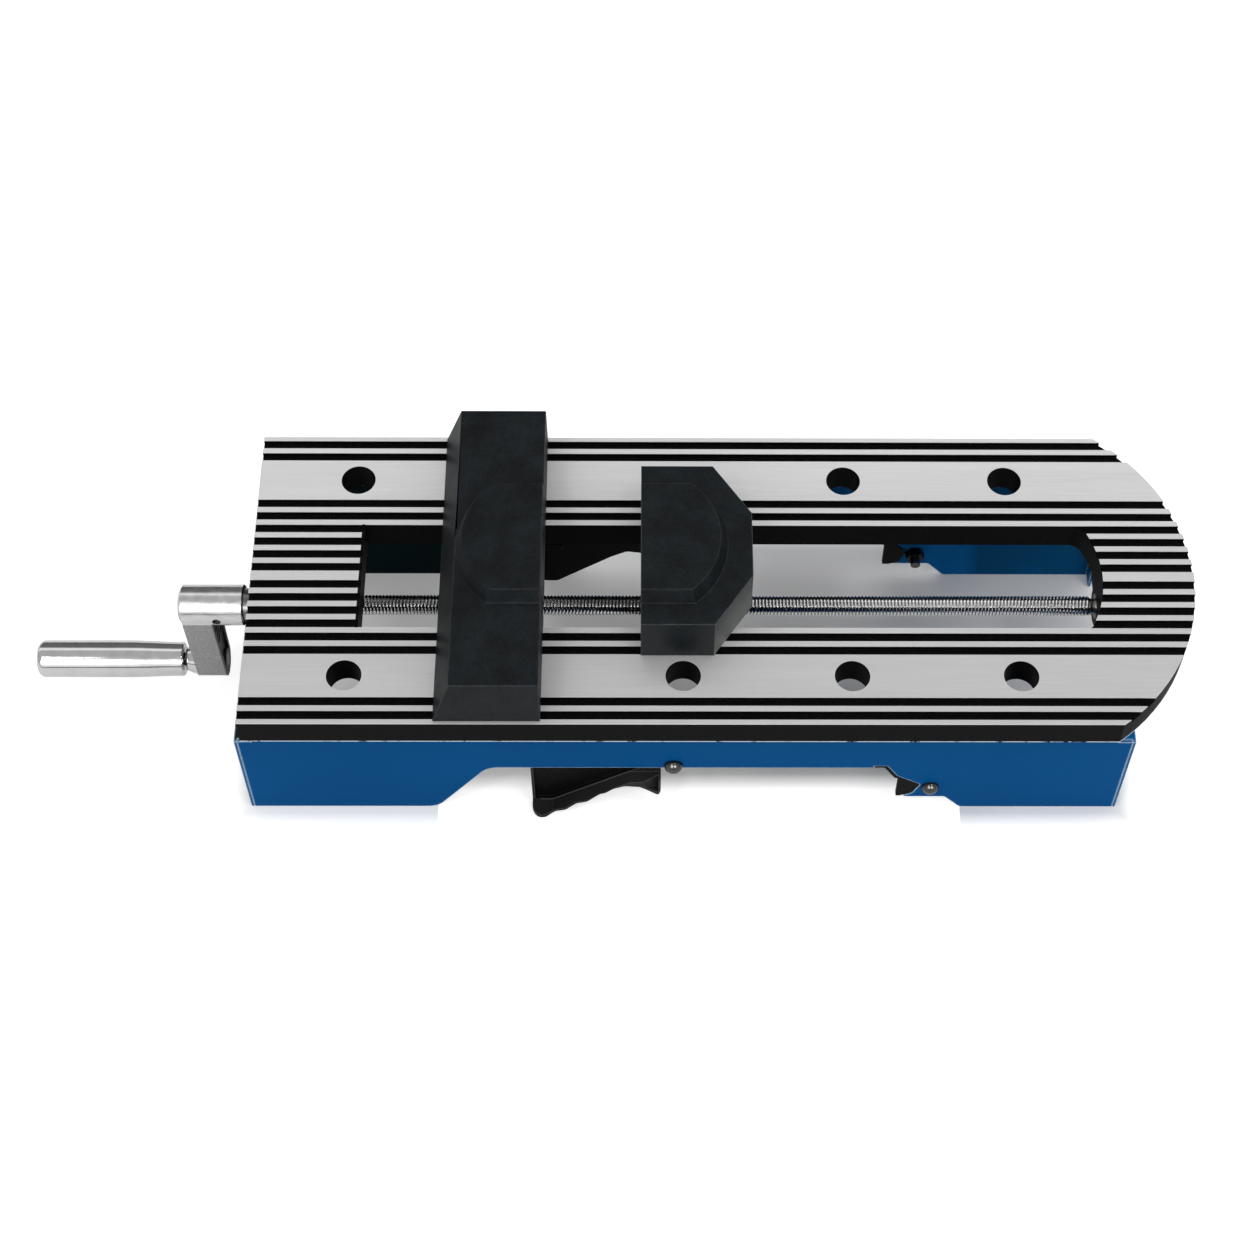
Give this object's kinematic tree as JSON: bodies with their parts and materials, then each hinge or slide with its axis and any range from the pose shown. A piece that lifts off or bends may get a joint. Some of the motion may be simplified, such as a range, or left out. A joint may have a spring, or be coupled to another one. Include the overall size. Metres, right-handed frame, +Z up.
{
  "type": "quick-release vise",
  "caption": "Long grooved bench vise with a crank-driven jaw, a peg-located jaw and a sprung lever that releases its folded steel base from a rail.",
  "frame": {"origin": "centre of the footprint of the whole vise, on the surface it stands on", "axes": "+X along the bed away from the crank, +Y across the bed, away from the picture's viewer, +Z up"},
  "size_m": [0.6824, 0.196, 0.1654],
  "materials": {
    "bed_casting": "black paint with ground lands",
    "blue_paint": "gloss blue powder coat",
    "black_steel": "black oxide",
    "black_moulding": "matte moulded black",
    "bright_steel": "turned",
    "bronze": "turned bronze",
    "cast_steel": "polished casting",
    "chrome": "polished",
    "jaw_black": "black oxide, satin"
  },
  "bodies": {
    "frame": {"bed": "bed_casting", "side_wall_front": "blue_paint", "side_wall_rear": "blue_paint", "end_plate_left": "blue_paint", "end_plate_right": "blue_paint", "bed_screws": "black_steel", "notch_block_front": "black_moulding", "notch_block_rear": "black_moulding", "notch_bolts": "black_steel", "notch_nuts": "black_steel", "lever_axle": "bright_steel", "axle_caps": "black_steel", "lever_spring_front": "bright_steel", "lever_spring_rear": "bright_steel", "left_bushing": "bronze", "right_bushing": "bronze"},
    "screw_drive": {"lead_screw": "bright_steel", "drive_collar": "bright_steel", "end_collar": "black_steel", "crank": "cast_steel", "crank_set_screw": "black_steel", "grip_spindle": "bright_steel", "grip_ferrule": "chrome"},
    "hand_grip": {"hand_grip": "chrome"},
    "moving_jaw": {"moving_jaw": "jaw_black", "jaw_carriage": "black_steel", "screw_nut": "bronze", "carriage_screws": "black_steel"},
    "fixed_jaw": {"fixed_jaw": "jaw_black", "jaw_pegs": "bright_steel", "peg_screws": "black_steel"},
    "release_lever": {"release_lever": "black_moulding"}
  },
  "joints": [
    {"name": "crank_turn", "type": "hinge", "parent": "frame", "child": "screw_drive", "pos_m": [-0.2306, 0, 0.092], "axis": [-1, 0, 0], "range_deg": [-9720, 36000]},
    {"name": "jaw_slide", "type": "slide", "parent": "frame", "child": "moving_jaw", "axis": [1, 0, 0], "range_m": [-0.0545, 0.2005]},
    {"name": "grip_spin", "type": "hinge", "parent": "screw_drive", "child": "hand_grip", "pos_m": [-0.2986, 0, 0.031], "axis": [1, 0, 0], "continuous": true},
    {"name": "release_squeeze", "type": "hinge", "parent": "frame", "child": "release_lever", "pos_m": [0.0416, 0, 0.0515], "axis": [0, 1, 0], "range_deg": [0, 15], "stiffness_Nm_per_rad": 1.5, "springref_deg": -20.05, "deforming": ["lever_spring_front", "lever_spring_rear"]},
    {"name": "fixed_jaw_lift", "type": "slide", "parent": "frame", "child": "fixed_jaw", "axis": [0, 0, 1], "range_m": [0, 0.03]}
  ],
  "couplings": [
    {"joint": "jaw_slide", "follows": "crank_turn", "m_per_rad": 0.00031831}
  ]
}
